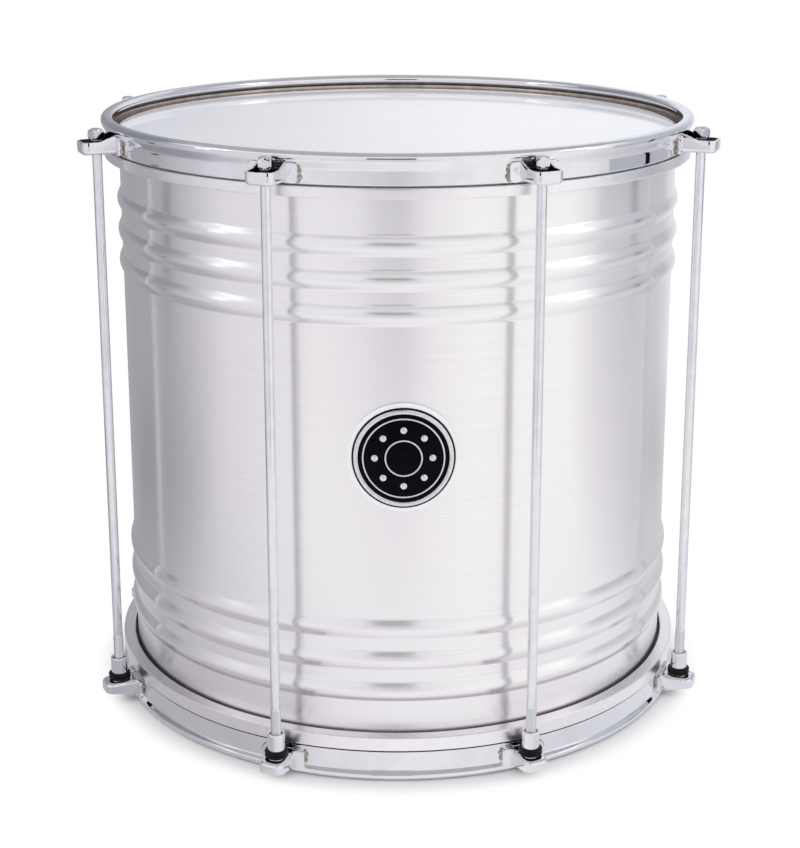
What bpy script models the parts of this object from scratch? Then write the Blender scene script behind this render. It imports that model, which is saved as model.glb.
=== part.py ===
"""Repinique: a two-headed aluminium drum, 12 inches by 12 inches, tuned by eight long rods.

The drum stands on its bottom rim, with its axis on +Z and its front (the badge) towards -Y.
Lengths are in millimetres here and become metres as the meshes are made.
"""
import math

import bmesh
import bpy
from mathutils import Matrix, Vector

MM = 0.001

# Driving dimensions of the shell
SHELL_DIAMETER = 304.8
SHELL_LENGTH = 304.8
SHELL_WALL = 1.2
BEAD_COUNT = 3
BEAD_PITCH = 17.1
BEAD_WIDTH = 10.6
BEAD_HEIGHT = 2.0
BEAD_FIRST = 36.9

# Driving dimensions of the heads
FILM_THICKNESS = 0.25
RING_BORE_GAP = 2.8
RING_WIDTH = 5.2
BATTER_RING_HEIGHT = 5.5
RESONANT_RING_HEIGHT = 7.4
GROOVE_DEPTH = 3.0
GROOVE_LAND = 0.65

# Driving dimensions of the counterhoops
HOOP_HEIGHT = 16.0
HOOP_WALL = 2.3
RIM_WIDTH = 6.6
RIM_THICKNESS = 4.8
RIM_OVERHANG = 2.3
RIM_OVER_HEAD = 8.0

# Driving dimensions of the tension gear
LUG_COUNT = 8
FIRST_LUG_DEG = 22.5
ROD_OFFSET = 9.9
TOP_CLAW_WIDTH = 15.2
BOTTOM_CLAW_WIDTH = 13.2
TOP_CLAW_SETBACK = 1.5
BOTTOM_CLAW_SETBACK = 3.6
CLAW_WALL = 1.3
CLAW_REACH = 9.2
CLAW_CORNER_RADIUS = 4.0
CLAW_TIP_HEIGHT = 6.2
CLAW_MIDDLE_HEIGHT = 6.7
CLAW_ROOT_HEIGHT = 10.4
CLAW_EDGE_RADIUS = 2.0
FOOT_WIDTH = 5.0
FOOT_THICKNESS = 1.7
FOOT_HEIGHT = 9.6
FOOT_OVERHANG = 0.6
FOOT_CORNER = 1.5
ROD_DIAMETER = 5.0
THREAD_DIAMETER = 5.45
THREAD_SHOWN = 13.5
FLANGE_DIAMETER = 9.6
FLANGE_HEIGHT = 2.0
NECK_DIAMETER = 5.4
NECK_LENGTH = 1.9
KEY_SQUARE = 6.4
KEY_CORNER_DIAMETER = 8.8
KEY_HEIGHT = 6.4
WASHER_DIAMETER = 10.8
WASHER_THICKNESS = 1.0
NUT_DIAMETER = 9.0
NUT_STANDS = 13.3
NUT_FLANGE_LENGTH = 12.0
NUT_FLANGE_HEIGHT = 2.4
BUSHING_DIAMETER = 12.0
BUSHING_HEIGHT = 4.0
BUSHING_CHAMFER = 0.5

# Driving dimensions of the badge
BADGE_DIAMETER = 56.0
BADGE_THICKNESS = 0.9
PLATE_DIAMETER = 50.0
PLATE_THICKNESS = 0.5

# Clearances: SEAT is the gap between pieces that rest on each other
SEAT = 0.3
ROD_CLEARANCE = 0.45
BARREL_CLEARANCE = 0.35
CHANNEL_CLEARANCE = 0.5

# Facets: each lug stands at the middle of a flat of the turned pieces
FACETS_PER_LUG = 4
TURN_STEPS = FACETS_PER_LUG * LUG_COUNT
TURN_PHASE = math.radians(FIRST_LUG_DEG - 90.0) + math.pi / TURN_STEPS
ROD_STEPS = 10

# Sizes that follow from the ones above
SHELL_RADIUS = SHELL_DIAMETER / 2
HEAD_STACK = RIM_OVER_HEAD + FILM_THICKNESS + SEAT
OVERALL_HEIGHT = SHELL_LENGTH + 2 * HEAD_STACK
RING_BORE = SHELL_RADIUS + RING_BORE_GAP
RING_OUTER = RING_BORE + RING_WIDTH
GROOVE_INNER = RING_BORE + GROOVE_LAND
GROOVE_OUTER = GROOVE_INNER + FILM_THICKNESS + 2 * SEAT
HOOP_BORE = GROOVE_OUTER + SEAT
HOOP_OUTER = HOOP_BORE + HOOP_WALL
RIM_RADIUS = RIM_THICKNESS / 2
RIM_OUTER = HOOP_OUTER + RIM_OVERHANG
RIM_OUTER_CENTRE = RIM_OUTER - RIM_RADIUS
RIM_INNER_CENTRE = RIM_OUTER - RIM_WIDTH + RIM_RADIUS
LUG_RADIUS = HOOP_OUTER + ROD_OFFSET
TOP_LIP = OVERALL_HEIGHT - HOOP_HEIGHT
TOP_FLOOR = TOP_LIP + TOP_CLAW_SETBACK
BOTTOM_FLOOR = HOOP_HEIGHT - BOTTOM_CLAW_SETBACK
FLOOR_TOP = TOP_FLOOR + CLAW_WALL
WASHER_TOP = FLOOR_TOP + SEAT + WASHER_THICKNESS
FLANGE_BOTTOM = WASHER_TOP + SEAT
FLANGE_TOP = FLANGE_BOTTOM + FLANGE_HEIGHT
NUT_TOP = BOTTOM_FLOOR + NUT_STANDS
NUT_FLANGE_TOP = BOTTOM_FLOOR - CLAW_WALL - SEAT
NUT_BOTTOM = NUT_FLANGE_TOP - NUT_FLANGE_HEIGHT


def new_collection(name):
    """Make a collection in the scene and return it."""
    collection = bpy.data.collections.new(name)
    bpy.context.scene.collection.children.link(collection)
    return collection


def make_material(name, colour, roughness, metallic):
    """A Principled material with a linear colour."""
    material = bpy.data.materials.new(name)
    material.use_nodes = True
    shader = material.node_tree.nodes["Principled BSDF"]
    shader.inputs["Base Color"].default_value = (*colour, 1.0)
    shader.inputs["Roughness"].default_value = roughness
    shader.inputs["Metallic"].default_value = metallic
    material.diffuse_color = (*colour, 1.0)
    return material


for old in list(bpy.data.objects):
    bpy.data.objects.remove(old, do_unlink=True)
PARTS = new_collection("repinique")
CUTTERS = new_collection("cutters")

ALUMINIUM = make_material("brushed_aluminium", (0.80, 0.80, 0.81), 0.32, 1.0)
RING_ALUMINIUM = make_material("satin_aluminium", (0.82, 0.82, 0.83), 0.38, 1.0)
CHROME = make_material("chrome_plate", (0.78, 0.79, 0.80), 0.08, 1.0)
ROD_STEEL = make_material("plated_steel", (0.70, 0.71, 0.73), 0.22, 1.0)
MYLAR = make_material("polyester_film", (0.88, 0.89, 0.92), 0.25, 0.0)
BLACK_NYLON = make_material("black_nylon", (0.012, 0.012, 0.012), 0.40, 0.0)
WHITE_PLASTIC = make_material("white_plastic", (0.90, 0.90, 0.90), 0.20, 0.0)
BLACK_ENAMEL = make_material("black_enamel", (0.010, 0.010, 0.015), 0.15, 0.0)


def add_object(name, mesh, material=None):
    """Put a mesh in the parts collection, or in the cutters when it has no material."""
    thing = bpy.data.objects.new(name, mesh)
    if material is None:
        CUTTERS.objects.link(thing)
        thing.hide_render = True
        thing.display_type = "WIRE"
    else:
        PARTS.objects.link(thing)
        mesh.materials.clear()
        mesh.materials.append(material)
    return thing


def round_shading(mesh, limit_deg=35):
    """Shade the round sides smooth and keep the real edges sharp."""
    mesh.shade_smooth()
    mesh.set_sharp_from_angle(angle=math.radians(limit_deg))


def evaluated_mesh(thing):
    """The mesh of an object with its modifiers applied."""
    bpy.context.view_layer.update()
    graph = bpy.context.evaluated_depsgraph_get()
    return bpy.data.meshes.new_from_object(thing.evaluated_get(graph))


def turned(name, profile, material=None, steps=TURN_STEPS, phase=TURN_PHASE, closed=True):
    """Turn a profile of (radius, height) points, outer side downwards, about the Z axis."""
    mesh = bpy.data.meshes.new(name)
    points = [
        (radius * MM * math.cos(phase), radius * MM * math.sin(phase), height * MM)
        for radius, height in profile
    ]
    edges = [(i, i + 1) for i in range(len(points) - 1)]
    if closed:
        edges.append((len(points) - 1, 0))
    mesh.from_pydata(points, edges, [])
    thing = add_object(name, mesh, material)
    screw = thing.modifiers.new("turn", "SCREW")
    screw.axis = "Z"
    screw.angle = 2 * math.pi
    screw.steps = steps
    screw.render_steps = steps
    screw.use_merge_vertices = True
    screw.merge_threshold = 0.00001
    mesh = evaluated_mesh(thing)
    thing.modifiers.clear()
    thing.data = mesh
    if material is not None:
        round_shading(mesh)
    return thing


def box(name, low, high):
    """A box cutter between two corners, in millimetres."""
    mesh = bpy.data.meshes.new(name)
    bm = bmesh.new()
    bmesh.ops.create_cube(bm, size=1.0)
    size = [(b - a) * MM for a, b in zip(low, high)]
    middle = [(a + b) / 2 * MM for a, b in zip(low, high)]
    bmesh.ops.scale(bm, vec=size, verts=bm.verts)
    bmesh.ops.translate(bm, vec=middle, verts=bm.verts)
    bm.to_mesh(mesh)
    bm.free()
    return add_object(name, mesh)


def cylinder(name, diameter, low, high, sides, turn=0.0):
    """An upright cylinder cutter about the Z axis, in millimetres."""
    mesh = bpy.data.meshes.new(name)
    bm = bmesh.new()
    bmesh.ops.create_cone(
        bm,
        cap_ends=True,
        segments=sides,
        radius1=diameter / 2 * MM,
        radius2=diameter / 2 * MM,
        depth=(high - low) * MM,
    )
    bmesh.ops.rotate(bm, matrix=Matrix.Rotation(turn, 3, "Z"), verts=bm.verts)
    bmesh.ops.translate(bm, vec=(0, 0, (low + high) / 2 * MM), verts=bm.verts)
    bm.to_mesh(mesh)
    bm.free()
    return add_object(name, mesh)


def prism(name, outline, depth, along="Z"):
    """Extrude a flat outline from zero along Z or Y, or to both sides along X."""
    mesh = bpy.data.meshes.new(name)
    bm = bmesh.new()
    if along == "X":
        corners = [bm.verts.new((-depth / 2 * MM, y * MM, z * MM)) for y, z in outline]
        push = Vector((depth * MM, 0, 0))
    elif along == "Y":
        corners = [bm.verts.new((x * MM, 0, z * MM)) for x, z in outline]
        push = Vector((0, depth * MM, 0))
    else:
        corners = [bm.verts.new((x * MM, y * MM, 0)) for x, y in outline]
        push = Vector((0, 0, depth * MM))
    face = bm.faces.new(corners)
    extruded = bmesh.ops.extrude_face_region(bm, geom=[face])
    moved = [g for g in extruded["geom"] if isinstance(g, bmesh.types.BMVert)]
    bmesh.ops.translate(bm, vec=push, verts=moved)
    bmesh.ops.recalc_face_normals(bm, faces=bm.faces)
    bm.to_mesh(mesh)
    bm.free()
    return add_object(name, mesh)


def combine(thing, other, operation):
    """Apply an exact Boolean to an object's mesh."""
    modifier = thing.modifiers.new(operation.lower(), "BOOLEAN")
    modifier.operation = operation
    modifier.solver = "EXACT"
    modifier.object = other
    mesh = evaluated_mesh(thing)
    thing.modifiers.clear()
    thing.data = mesh
    return thing


def clean(mesh):
    """Join doubled points and dissolve the flat edges that a Boolean leaves."""
    bm = bmesh.new()
    bm.from_mesh(mesh)
    bmesh.ops.remove_doubles(bm, verts=bm.verts, dist=0.000001)
    bmesh.ops.dissolve_limit(bm, angle_limit=0.001, verts=bm.verts, edges=bm.edges)
    bmesh.ops.triangulate(bm, faces=bm.faces)
    bm.to_mesh(mesh)
    bm.free()


def finish(name, thing, material):
    """Clean a built cutter's mesh and make it the mesh of a part."""
    mesh = thing.data.copy()
    mesh.name = name
    clean(mesh)
    round_shading(mesh)
    mesh.materials.clear()
    mesh.materials.append(material)
    return mesh


def mirrored(profile):
    """The same profile at the other end of the drum."""
    return [(radius, OVERALL_HEIGHT - height) for radius, height in reversed(profile)]


def arc(centre, radius, start_deg, end_deg, count):
    """Points along an arc in the profile's plane."""
    points = []
    for i in range(count):
        angle = math.radians(start_deg + (end_deg - start_deg) * i / (count - 1))
        points.append((centre[0] + radius * math.cos(angle), centre[1] + radius * math.sin(angle)))
    return points


def bead_centres():
    """Heights of the rolled beads, from the top one down."""
    low = HEAD_STACK + BEAD_FIRST
    lower = [low + BEAD_PITCH * i for i in range(BEAD_COUNT)]
    upper = [OVERALL_HEIGHT - height for height in lower]
    return sorted(upper + lower, reverse=True)


def bead_wave(radius, stations):
    """One side of the sheet over all the beads, from the top down."""
    points = []
    for centre in bead_centres():
        for along in stations:
            rise = BEAD_HEIGHT if 0 < along < 1 else 0.0
            points.append((radius + rise, centre + BEAD_WIDTH * (0.5 - along)))
    return points


def make_shell():
    """The sheet aluminium cylinder with three rolled beads near each end."""
    top = OVERALL_HEIGHT - HEAD_STACK
    inner = SHELL_RADIUS - SHELL_WALL
    outer_wave = bead_wave(SHELL_RADIUS, (0.0, 0.36, 0.64, 1.0))
    inner_wave = bead_wave(inner, (0.0, 0.5, 1.0))
    outside = [(SHELL_RADIUS, top)] + outer_wave + [(SHELL_RADIUS, HEAD_STACK)]
    inside = [(inner, top)] + inner_wave + [(inner, HEAD_STACK)]
    return turned("shell", outside + inside[::-1], ALUMINIUM)


def film_profile(ring_top):
    """The drawn film of the upper head: flat, over the bearing edge and down into its ring."""
    top = OVERALL_HEIGHT - RIM_OVER_HEAD
    under = top - FILM_THICKNESS
    inner = GROOVE_INNER + SEAT
    outer = inner + FILM_THICKNESS
    foot = ring_top - GROOVE_DEPTH + SEAT
    edge = SHELL_RADIUS + SEAT
    outside = [(0.0, top), (edge - 0.5, top), (edge + 0.5, top - 0.7), (outer, ring_top), (outer, foot)]
    inside = [(inner, foot), (inner, ring_top), (edge + 0.15, under - 0.6), (edge - 0.5, under)]
    return outside + inside + [(0.0, under)]


def ring_profile(ring_top, height):
    """The grooved aluminium ring that grips the film's edge, for the upper head."""
    bottom = ring_top - height
    outside = [
        (GROOVE_OUTER, ring_top),
        (RING_OUTER, ring_top),
        (RING_OUTER, bottom + 1.0),
        (RING_OUTER - 1.0, bottom),
        (RING_BORE, bottom),
    ]
    groove = [
        (RING_BORE, ring_top),
        (GROOVE_INNER, ring_top),
        (GROOVE_INNER, ring_top - GROOVE_DEPTH),
        (GROOVE_OUTER, ring_top - GROOVE_DEPTH),
    ]
    return outside + groove


def hoop_profile():
    """The upper counterhoop: a flat band with a rolled rim above and a soft lip below."""
    middle = OVERALL_HEIGHT - RIM_RADIUS
    meets_band = math.degrees(math.acos((HOOP_OUTER - RIM_OUTER_CENTRE) / RIM_RADIUS))
    meets_bore = math.degrees(math.acos((HOOP_BORE - RIM_INNER_CENTRE) / RIM_RADIUS))
    outer_rim = arc((RIM_OUTER_CENTRE, middle), RIM_RADIUS, 90, -meets_band, 5)
    band = [
        (HOOP_OUTER, TOP_LIP + 0.9),
        (HOOP_OUTER - 0.5, TOP_LIP),
        (HOOP_BORE + 0.3, TOP_LIP),
        (HOOP_BORE, TOP_LIP + 0.5),
    ]
    inner_rim = arc((RIM_INNER_CENTRE, middle), RIM_RADIUS, 360 - meets_bore, 90, 5)
    return outer_rim + band + inner_rim


def make_heads_and_hoops():
    """Both heads and both counterhoops, the lower ones as the upper ones turned over."""
    ring_top = TOP_LIP - SEAT
    for name, height, place in (
        ("batter", BATTER_RING_HEIGHT, list),
        ("resonant", RESONANT_RING_HEIGHT, mirrored),
    ):
        turned(f"{name}_film", place(film_profile(ring_top)), MYLAR, closed=False)
        turned(f"{name}_flesh_hoop", place(ring_profile(ring_top, height)), RING_ALUMINIUM)
    turned("top_hoop", hoop_profile(), CHROME)
    turned("bottom_hoop", mirrored(hoop_profile()), CHROME)


def claw_outline(width, inset, back):
    """U-shaped outline of a claw about its rod, open towards the hoop."""
    half = width / 2 - inset
    tip = CLAW_REACH - inset
    radius = CLAW_CORNER_RADIUS - inset
    points = [(-half, -back), (half, -back)]
    points += arc((half - radius, tip - radius), radius, 0, 90, 3)
    points += arc((radius - half, tip - radius), radius, 90, 180, 3)
    return points


def rounded_floor(body, back):
    """Round the edges of the claw's floor, apart from the one that meets the hoop."""
    bm = bmesh.new()
    bm.from_mesh(body.data)
    floor_edges = [
        e
        for e in bm.edges
        if all(abs(v.co.z) < 1e-6 for v in e.verts) and any(v.co.y > -back * MM * 0.9 for v in e.verts)
    ]
    bmesh.ops.bevel(bm, geom=floor_edges, offset=CLAW_EDGE_RADIUS * MM, segments=1, affect="EDGES")
    bm.to_mesh(body.data)
    bm.free()


def claw_foot(side, width, back):
    """A foot of the claw: a plate with cut corners that lies on the hoop's band."""
    inner = side * (width / 2 - CLAW_WALL)
    outer = side * (width / 2 + FOOT_WIDTH)
    corner = outer - side * FOOT_CORNER
    low = -FOOT_OVERHANG
    high = FOOT_HEIGHT
    outline = [
        (inner, low),
        (corner, low),
        (outer, low + FOOT_CORNER),
        (outer, high - FOOT_CORNER),
        (corner, high),
        (inner, high),
    ]
    foot = prism("claw_foot", outline, back - ROD_OFFSET + FOOT_THICKNESS, along="Y")
    foot.data.transform(Matrix.Translation((0, -back * MM, 0)))
    return foot


def hoop_space(setback):
    """The room that the hoop and its rolled rim take, seen from a claw whose floor is on z = 0."""
    band = HOOP_OUTER + SEAT
    reach = RIM_RADIUS + SEAT
    rim = (RIM_OUTER_CENTRE, HOOP_HEIGHT - setback - RIM_RADIUS)
    meets_band = math.degrees(math.acos((band - RIM_OUTER_CENTRE) / reach))
    profile = [(0.0, HOOP_HEIGHT), (RIM_OUTER + SEAT, HOOP_HEIGHT)]
    profile += arc(rim, reach, 0, -meets_band, 3)
    profile += [(band, -HOOP_HEIGHT), (0.0, -HOOP_HEIGHT)]
    facing = math.pi / 2 + math.pi / TURN_STEPS
    space = turned("hoop_space", profile, phase=facing, closed=False)
    space.data.transform(Matrix.Translation((0, -LUG_RADIUS * MM, 0)))
    return space


def make_claw_mesh(width, setback, hole_diameter):
    """A pressed steel cup welded to the hoop by two feet, its floor on z = 0, cup upwards."""
    back = ROD_OFFSET + 2.0
    above = CLAW_ROOT_HEIGHT + 1.0
    body = prism("claw_body", claw_outline(width, 0.0, back), CLAW_ROOT_HEIGHT)
    rounded_floor(body, back)
    slope = prism(
        "claw_slope",
        [
            (CLAW_REACH + 0.1, CLAW_TIP_HEIGHT),
            (0.0, CLAW_MIDDLE_HEIGHT),
            (-ROD_OFFSET, CLAW_ROOT_HEIGHT),
            (-ROD_OFFSET, above),
            (CLAW_REACH + 0.1, above),
        ],
        width + 4.0,
        along="X",
    )
    combine(body, slope, "DIFFERENCE")
    pocket = prism("claw_pocket", claw_outline(width, CLAW_WALL, back + 1.0), CLAW_ROOT_HEIGHT)
    pocket.data.transform(Matrix.Translation((0, 0, CLAW_WALL * MM)))
    combine(body, pocket, "DIFFERENCE")
    for side in (-1, 1):
        combine(body, claw_foot(side, width, back), "UNION")
    hole = cylinder("rod_hole", hole_diameter, -1.0, CLAW_WALL + 1.0, ROD_STEPS)
    combine(body, hole, "DIFFERENCE")
    combine(body, hoop_space(setback), "DIFFERENCE")
    return body


def lug_place(index, height, flipped=False):
    """World matrix of a lug's frame: origin on the rod's axis, +Y outwards."""
    azimuth = math.radians(FIRST_LUG_DEG + 360 / LUG_COUNT * index)
    x = LUG_RADIUS * MM * math.sin(azimuth)
    y = -LUG_RADIUS * MM * math.cos(azimuth)
    turn = Matrix.Rotation(azimuth + math.pi, 4, "Z")
    flip = Matrix.Rotation(math.pi, 4, "Y") if flipped else Matrix.Identity(4)
    return Matrix.Translation((x, y, height * MM)) @ turn @ flip


def make_rod_blank():
    """The turned shape of a tension rod, from its threaded tip to its domed head."""
    shank = ROD_DIAMETER / 2
    thread = THREAD_DIAMETER / 2
    corner = KEY_CORNER_DIAMETER / 2
    neck = NECK_DIAMETER / 2
    head_bottom = FLANGE_TOP + NECK_LENGTH
    head_top = head_bottom + KEY_HEIGHT
    profile = [
        (0.0, head_top),
        (corner * 0.62, head_top - 0.5),
        (corner, head_top - 2.2),
        (corner, head_bottom + 1.3),
        (neck, head_bottom),
        (neck, FLANGE_TOP),
        (FLANGE_DIAMETER / 2, FLANGE_TOP),
        (FLANGE_DIAMETER / 2, FLANGE_BOTTOM),
        (shank, FLANGE_BOTTOM),
        (shank, NUT_TOP + THREAD_SHOWN),
        (thread, NUT_TOP + THREAD_SHOWN - 0.3),
        (thread, NUT_BOTTOM + 1.0),
        (thread - 0.7, NUT_BOTTOM + 0.3),
        (0.0, NUT_BOTTOM + 0.3),
    ]
    return turned("rod_blank", profile, steps=ROD_STEPS, phase=math.pi / ROD_STEPS, closed=False)


def make_rod_mesh():
    """The blank with its head milled square for the drum key."""
    blank = make_rod_blank()
    square = KEY_SQUARE / 2
    middle = FLANGE_TOP + NECK_LENGTH / 2
    keep = box("key_square", (-square, -square, middle - 1), (square, square, OVERALL_HEIGHT + 10))
    below = box("below_key", (-20, -20, -10), (20, 20, middle))
    combine(keep, below, "UNION")
    combine(blank, keep, "INTERSECT")
    return blank


def make_nut_mesh():
    """The receiver nut: a round barrel on an oblong flange that the claw's sides keep from turning."""
    nut = cylinder("nut_barrel", NUT_DIAMETER, NUT_BOTTOM, NUT_TOP, ROD_STEPS)
    across = BOTTOM_CLAW_WIDTH / 2 - CLAW_WALL - CHANNEL_CLEARANCE
    along = NUT_FLANGE_LENGTH / 2
    flange = box("nut_flange", (-across, -along, NUT_BOTTOM), (across, along, NUT_FLANGE_TOP))
    combine(nut, flange, "UNION")
    bore = (THREAD_DIAMETER + 2 * ROD_CLEARANCE) / math.cos(math.pi / ROD_STEPS)
    combine(nut, cylinder("nut_bore", bore, NUT_BOTTOM - 1, NUT_TOP + 1, ROD_STEPS), "DIFFERENCE")
    return nut


def make_ring_mesh(name, bore, outer, low, high):
    """A plain round washer."""
    profile = [(outer / 2, high), (outer / 2, low), (bore / 2, low), (bore / 2, high)]
    return turned(name, profile, steps=ROD_STEPS, phase=0.0)


def make_bushing_mesh(bore):
    """The black bushing round the nut's barrel, with a chamfered top edge."""
    low = BOTTOM_FLOOR + SEAT
    high = low + BUSHING_HEIGHT
    outer = BUSHING_DIAMETER / 2
    profile = [
        (outer - BUSHING_CHAMFER, high),
        (outer, high - BUSHING_CHAMFER),
        (outer, low),
        (bore / 2, low),
        (bore / 2, high),
    ]
    return turned("bushing_blank", profile, steps=ROD_STEPS, phase=0.0)


def place_all(names, mesh, material, places):
    """One object for each place, sharing a mesh."""
    for name, place in zip(names, places):
        thing = add_object(name, mesh, material)
        thing.matrix_world = place


def make_tension_gear():
    """Claws, rods, washers, receiver nuts and bushings at each of the lugs."""
    barrel_hole = (NUT_DIAMETER + 2 * BARREL_CLEARANCE) / math.cos(math.pi / ROD_STEPS)
    rod_hole = (ROD_DIAMETER + 2 * ROD_CLEARANCE) / math.cos(math.pi / ROD_STEPS)
    numbers = range(LUG_COUNT)

    cup = make_claw_mesh(TOP_CLAW_WIDTH, TOP_CLAW_SETBACK, rod_hole)
    top_claw = finish("top_claw", cup, CHROME)
    top_places = [lug_place(i, TOP_FLOOR) for i in numbers]
    place_all([f"top_claw_{i + 1}" for i in numbers], top_claw, CHROME, top_places)

    cup = make_claw_mesh(BOTTOM_CLAW_WIDTH, BOTTOM_CLAW_SETBACK, barrel_hole)
    bottom_claw = finish("bottom_claw", cup, CHROME)
    bottom_places = [lug_place(i, BOTTOM_FLOOR, flipped=True) for i in numbers]
    place_all([f"bottom_claw_{i + 1}" for i in numbers], bottom_claw, CHROME, bottom_places)

    axis_places = [lug_place(i, 0.0) for i in numbers]
    rod = finish("tension_rod", make_rod_mesh(), ROD_STEEL)
    for i in numbers:
        thing = add_object(f"tension_rod_{i + 1}", rod, ROD_STEEL)
        spread = abs((FIRST_LUG_DEG + 360 / LUG_COUNT * i + 180) % 360 - 180)
        stop = math.radians(45) * int(spread // 45)
        straight = Matrix.Translation(axis_places[i].to_translation())
        thing.matrix_world = straight @ Matrix.Rotation(stop, 4, "Z")

    washer = make_ring_mesh(
        "washer_blank", rod_hole, WASHER_DIAMETER, FLOOR_TOP + SEAT, FLOOR_TOP + SEAT + WASHER_THICKNESS
    )
    washer_mesh = finish("rod_washer", washer, ROD_STEEL)
    place_all([f"rod_washer_{i + 1}" for i in numbers], washer_mesh, ROD_STEEL, axis_places)

    nut = finish("receiver_nut", make_nut_mesh(), CHROME)
    place_all([f"receiver_nut_{i + 1}" for i in numbers], nut, CHROME, axis_places)

    bushing = finish("bushing", make_bushing_mesh(barrel_hole), BLACK_NYLON)
    place_all([f"bushing_{i + 1}" for i in numbers], bushing, BLACK_NYLON, axis_places)


def curved_disc(name, diameter, inner, thickness, material):
    """A disc on the front of the drum, bent to the shell's curve."""
    outer = inner + thickness
    middle = OVERALL_HEIGHT / 2 + 10.0
    half = diameter / 2 + 5.0
    sheet = turned(
        f"{name}_sheet",
        [(outer, middle + half), (outer, middle - half), (inner, middle - half), (inner, middle + half)],
    )
    punch = cylinder(f"{name}_punch", diameter, 0.0, SHELL_DIAMETER, 32)
    punch.data.transform(Matrix.Rotation(math.pi / 2, 4, "X"))
    punch.data.transform(Matrix.Translation((0, 0, middle * MM)))
    combine(sheet, punch, "INTERSECT")
    mesh = finish(name, sheet, material)
    return add_object(name, mesh, material)


def make_badge():
    """A white backing disc with an enamelled plate on it, bare of any lettering."""
    back = SHELL_RADIUS + SEAT
    curved_disc("badge_back", BADGE_DIAMETER, back, BADGE_THICKNESS, WHITE_PLASTIC)
    plate = back + BADGE_THICKNESS + SEAT
    curved_disc("badge_plate", PLATE_DIAMETER, plate, PLATE_THICKNESS, BLACK_ENAMEL)


make_shell()
make_heads_and_hoops()
make_tension_gear()
make_badge()
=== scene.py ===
"""Repinique: the visual model of the drum, with its finishes, lights, floor and camera."""
import math

import bmesh
import bpy
from mathutils import Matrix, Vector


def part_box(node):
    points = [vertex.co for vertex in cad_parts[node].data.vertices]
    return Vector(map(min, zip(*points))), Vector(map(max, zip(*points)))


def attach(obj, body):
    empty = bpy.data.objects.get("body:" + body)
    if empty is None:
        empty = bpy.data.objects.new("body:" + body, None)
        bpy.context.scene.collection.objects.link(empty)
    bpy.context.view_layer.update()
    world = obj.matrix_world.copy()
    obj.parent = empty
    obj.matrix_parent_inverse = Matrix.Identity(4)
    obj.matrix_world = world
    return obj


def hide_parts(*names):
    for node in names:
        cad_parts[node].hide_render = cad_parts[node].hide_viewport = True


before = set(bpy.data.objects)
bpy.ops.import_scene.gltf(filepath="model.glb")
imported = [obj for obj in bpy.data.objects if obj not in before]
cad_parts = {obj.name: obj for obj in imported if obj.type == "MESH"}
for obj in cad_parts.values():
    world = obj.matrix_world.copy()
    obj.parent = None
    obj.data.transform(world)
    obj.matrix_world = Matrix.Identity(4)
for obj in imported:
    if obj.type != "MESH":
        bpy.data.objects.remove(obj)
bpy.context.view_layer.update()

# Plain lengths are in millimetres, and Blender's are in metres
MM = 0.001
MICRON = 1e-6


def levels(node):
    """The lowest and highest level of a CAD node at rest, in millimetres above the floor."""
    return [round(corner[2] / MM, 2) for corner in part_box(node)]


# Levels that the CAD sets, from the top hoop's lower lip and rim to the nut in the lower cups
LIP, HEIGHT = levels("top_hoop")
HOOP_HEIGHT = levels("bottom_hoop")[1]
SHELL_LOW, SHELL_HIGH = levels("shell")
FILM_FOOT, FILM_TOP = levels("batter_film")
ROD_END, HEAD_TOP = levels("tension_rod_1")
NUT_LOW, NUT_TOP = levels("receiver_nut_1")

# Clearance between the faces of pieces that touch in the real drum
SLIP = 0.3

# Shell: a sheet cylinder with three rolled beads near each end
SHELL_RADIUS = 152.4
SHELL_WALL = 1.2
FIRST_BEAD = 36.9
BEAD_PITCH = 17.1
BEAD_COUNT = 3
BEAD_HALF = 5.3
BEAD_RISE = 2.0

# Heads: films drawn over the shell's ends, gripped in grooved flesh hoops
FILM = 0.25
RING_BORE = SHELL_RADIUS + 1.5
RING_OUTER = RING_BORE + 6.5
RING_CORNER = 0.8
GROOVE_INNER = SHELL_RADIUS + 3.45
GROOVE_OUTER = GROOVE_INNER + 0.85
GROOVE_DEPTH = 3.0

# Counterhoops: a band with a rolled rim, and the curve between them
HOOP_BORE = GROOVE_OUTER + SLIP
HOOP_OUTER = HOOP_BORE + 2.3
RIM_HALF = 3.3
RIM_OUTER = HOOP_OUTER + 2.3
RIM_CENTRE = RIM_OUTER - RIM_HALF
RIM_DOME = 3.0
RIM_UNDER = 1.8
RIM_HEIGHT = RIM_DOME + RIM_UNDER
# How square the rim's oblong section is: 2 is an ellipse
RIM_POWER = 2.4
TOP_FLARE = 6.2
BOTTOM_FLARE = 2.4

# Lugs: eight rods on a circle, the first one to the right of the front
LUGS = range(8)
FIRST_LUG_DEG = 22.5
LUG_STEP_DEG = 45
ROD_REACH = 9.9
LUG_RADIUS = HOOP_OUTER + ROD_REACH

# Claws: pressed cups with two feet welded to the band
TOP_CLAW_WIDTH = 15.2
BOTTOM_CLAW_WIDTH = 13.2
TOP_CLAW_SETBACK = 1.5
BOTTOM_CLAW_SETBACK = 3.6
CLAW_WALL = 1.3
CLAW_REACH = 9.2
CLAW_CORNER = 4.0
CLAW_ROOT = 10.4
CLAW_OVERLAP = 2.0
CUP_ROUND = 2.2
POCKET_ROUND = 1.1
FOOT_WIDTH = 5.0
WELD_RADII = (1.0, 1.25, 1.05, 0.95, 1.15, 0.9)
WELD_LOW = 0.6
WELD_PITCH = 1.5

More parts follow.
